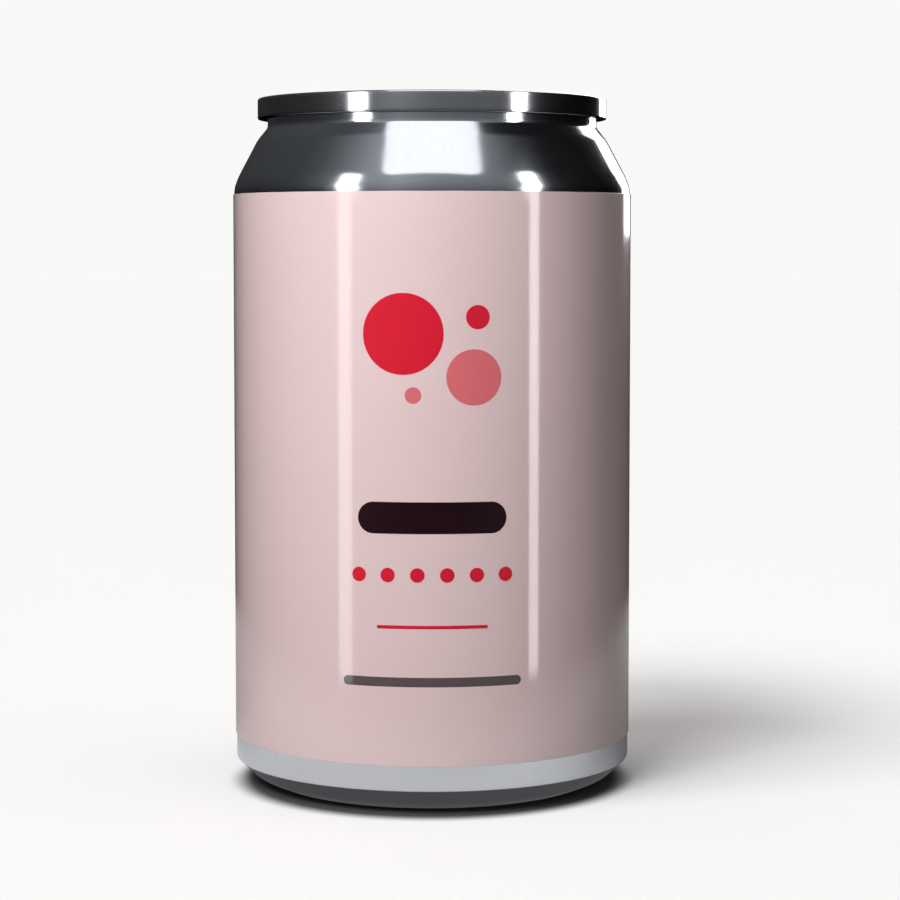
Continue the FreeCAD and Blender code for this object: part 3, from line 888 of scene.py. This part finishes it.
bm = bmesh.new()
rim_steps = curled_edge(RIM_UNDER, RIM_CURL, RIM_BENDS)
rim_bottom, rim_top = loft(
    bm, [ring_of(bm, TAB_TURNS, round_outline([NOSE, HEEL], -inset, z)) for inset, z in rim_steps]
)
hole_steps = curled_edge(HOLE_UNDER, HOLE_CURL, HOLE_BENDS)
hole_bottom, hole_top = loft(
    bm, [ring_of(bm, TAB_TURNS, round_outline(RING_HOLE, inset, z)) for inset, z in hole_steps]
)
pocket_steps = [(grow, web - drop) for grow, drop in POCKET_BENDS]
pocket_steps += [(grow, pocket_floor + rise) for grow, rise in POCKET_FOOT]
pocket_top, pocket_bottom = loft(
    bm, [ring_of(bm, POCKET_TURNS, round_outline([POCKET], grow, z)) for grow, z in pocket_steps]
)


def slit(height):
    """A C round the rivet, open towards the nose: out along one arc and back along the other."""

    def spot_at(share):
        outward = share < 0.5
        radius = SLIT_OUTER if outward else SLIT_INNER
        sweep = 4 * share - 1 if outward else 3 - 4 * share
        angle = math.pi / 2 + sweep * SLIT_REACH
        return Vector((radius * math.cos(angle), radius * math.sin(angle), height))

    return spot_at


slit_top, slit_bottom = loft(bm, [ring_of(bm, POCKET_TURNS, slit(z)) for z in (pocket_floor, tab_foot)])
for loops in (
    [rim_top, hole_top, pocket_top],
    [pocket_bottom, slit_top],
    [rim_bottom, hole_bottom, slit_bottom],
):
    edges = [edge for ring in loops for edge in ring]
    bmesh.ops.triangle_fill(bm, use_beauty=True, use_dissolve=False, edges=edges, normal=(0, 0, 1))
bmesh.ops.recalc_face_normals(bm, faces=bm.faces)
smooth_shade(bm, TAB_CREASE)
tab_metal = metal(
    "tab_aluminium", colour=(0.60, 0.61, 0.63), grain=(25, 800, 800), roughness=(0.20, 0.28), streak=0.2
)
ring_tab = new_piece("ring_tab", bm, tab_metal)
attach(ring_tab, "root")
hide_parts("pull_tab")


# The sleeve.
# Pale pink printed film, shrunk round the straight wall and varnished. It stops short of the shoulder and
# of the base, so a band of bare metal shows above and below it.
FILM_PINK = (0.84, 0.635, 0.64)
EDGE_ROUND = 0.06 * MM
UNDER_INK = 0.015 * MM
LAP = 0.1 * MM
MOTTLE_SCALE = 60
MOTTLE_DETAIL = 5
MOTTLE_SPREAD = 0.025
PEEL_SCALE = 700
PEEL_DETAIL = 2

sleeve_low, sleeve_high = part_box("label_sleeve")
sleeve = sleeve_high.x


def film(name, colour):
    """Varnished print: a slightly mottled colour under a clear glossy coat."""
    material, add, link = new_material(name)
    where = add("ShaderNodeTexCoord")
    mottle = add("ShaderNodeTexNoise")
    mottle.inputs["Scale"].default_value = MOTTLE_SCALE
    mottle.inputs["Detail"].default_value = MOTTLE_DETAIL
    link(where.outputs["Object"], mottle.inputs["Vector"])
    tone = add("ShaderNodeMix")
    tone.data_type = "RGBA"
    tone.inputs["A"].default_value = (*[c * (1 - MOTTLE_SPREAD) for c in colour], 1)
    tone.inputs["B"].default_value = (*[c * (1 + MOTTLE_SPREAD) for c in colour], 1)
    link(mottle.outputs["Fac"], tone.inputs["Factor"])
    peel = add("ShaderNodeTexNoise")
    peel.inputs["Scale"].default_value = PEEL_SCALE
    peel.inputs["Detail"].default_value = PEEL_DETAIL
    link(where.outputs["Object"], peel.inputs["Vector"])
    bump = add("ShaderNodeBump")
    bump.inputs["Strength"].default_value = 0.1
    bump.inputs["Distance"].default_value = RELIEF
    link(peel.outputs["Fac"], bump.inputs["Height"])
    surface = add("ShaderNodeBsdfPrincipled")
    surface.inputs["Roughness"].default_value = 0.5
    surface.inputs["Specular IOR Level"].default_value = 0.2
    surface.inputs["Coat Weight"].default_value = 1
    surface.inputs["Coat Roughness"].default_value = 0.09
    surface.inputs["Coat IOR"].default_value = 1.55
    link(tone.outputs["Result"], surface.inputs["Base Color"])
    link(bump.outputs["Normal"], surface.inputs["Normal"])
    link(bump.outputs["Normal"], surface.inputs["Coat Normal"])
    output = add("ShaderNodeOutputMaterial")
    link(surface.outputs["BSDF"], output.inputs["Surface"])
    return material


bm = bmesh.new()
draw_profile(
    bm,
    [
        (wall - LAP, sleeve_low.z, 0),
        (sleeve - UNDER_INK, sleeve_low.z, EDGE_ROUND),
        (sleeve - UNDER_INK, sleeve_high.z, EDGE_ROUND),
        (wall - LAP, sleeve_high.z, 0),
        (wall - LAP, sleeve_low.z, 0),
    ],
)
turn_profile(bm)
smooth_shade(bm)
printed_sleeve = new_piece("printed_sleeve", bm, film("pink_film", FILM_PINK))
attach(printed_sleeve, "root")
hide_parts("label_sleeve")


# The print.
# Solid inks on the film, the same at the front and at the back: a group of bubbles, a dark bar, a row of
# dots, a thin rule and a thin grey bar.
INK_THICKNESS = 0.06 * MM
INK_TURNS = 128
STRIP = math.radians(1.5)
CUT_MERGE = 1e-8
INKS = {
    "red_ink": (0.73, 0.012, 0.035),
    "rose_ink": (0.77, 0.165, 0.19),
    "plum_ink": (0.013, 0.0006, 0.004),
    "grey_ink": (0.115, 0.085, 0.09),
}
FRONT, BACK = 0, math.pi

ink_materials = {name: film(name, colour) for name, colour in INKS.items()}


def printed(name, ink, across, height, width, tall, side):
    """A printed shape with round ends, wrapped on the sleeve. across and height place its middle."""
    bm = bmesh.new()
    radius = tall / 2
    reach = width / 2 - radius
    ends = [(across - reach, height, radius), (across + reach, height, radius)]
    edges = ring_of(bm, INK_TURNS, round_outline(ends, 0, 0))
    bmesh.ops.edgenet_fill(bm, edges=edges)
    step = STRIP * sleeve
    for count in range(math.floor((across - width / 2) / step), math.ceil((across + width / 2) / step) + 1):
        whole = bm.verts[:] + bm.edges[:] + bm.faces[:]
        cut = (count * step, 0, 0)
        bmesh.ops.bisect_plane(bm, geom=whole, plane_co=cut, plane_no=(1, 0, 0), dist=CUT_MERGE)
    made = bmesh.ops.extrude_face_region(bm, geom=bm.faces[:])
    raised = {item for item in made["geom"] if isinstance(item, bmesh.types.BMVert)}
    for vert in bm.verts:
        radius = sleeve - (0 if vert in raised else INK_THICKNESS)
        around = vert.co.x / sleeve + side
        vert.co = (radius * math.sin(around), -radius * math.cos(around), vert.co.y)
    bmesh.ops.recalc_face_normals(bm, faces=bm.faces)
    smooth_shade(bm)
    shape = new_piece(name, bm, ink_materials[ink])
    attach(shape, "root")


# Each bubble's name and ink, then how far right of the middle, how high and how wide it is, in millimetres.
BUBBLES = [
    ("large_bubble", "red_ink", -4.6, 76.0, 12.8),
    ("middle_bubble", "rose_ink", 6.6, 69.2, 8.8),
    ("small_bubble", "red_ink", 7.2, 78.6, 3.8),
    ("tiny_bubble", "rose_ink", -3.0, 66.4, 2.6),
]
# Each bar's name and ink, then how high, how wide and how tall it is, in millimetres.
BARS = [
    ("dark_bar", "plum_ink", 47.2, 23.8, 5.0),
    ("rule", "red_ink", 30.0, 17.7, 0.55),
    ("grey_bar", "grey_ink", 21.3, 28.9, 1.5),
]
DOTS = 6
DOT_SIZE = 2.3
ROW_HEIGHT = 38.2
ROW_WIDTH = 25.8

for side_name, side in (("front", FRONT), ("back", BACK)):
    for name, ink, across, height, size in BUBBLES:
        printed(f"{name}_{side_name}", ink, across * MM, height * MM, size * MM, size * MM, side)
    for name, ink, height, width, tall in BARS:
        printed(f"{name}_{side_name}", ink, 0, height * MM, width * MM, tall * MM, side)
    for index in range(DOTS):
        across = (index / (DOTS - 1) - 0.5) * (ROW_WIDTH - DOT_SIZE)
        size = DOT_SIZE * MM
        printed(f"dot_{index + 1}_{side_name}", "red_ink", across * MM, ROW_HEIGHT * MM, size, size, side)
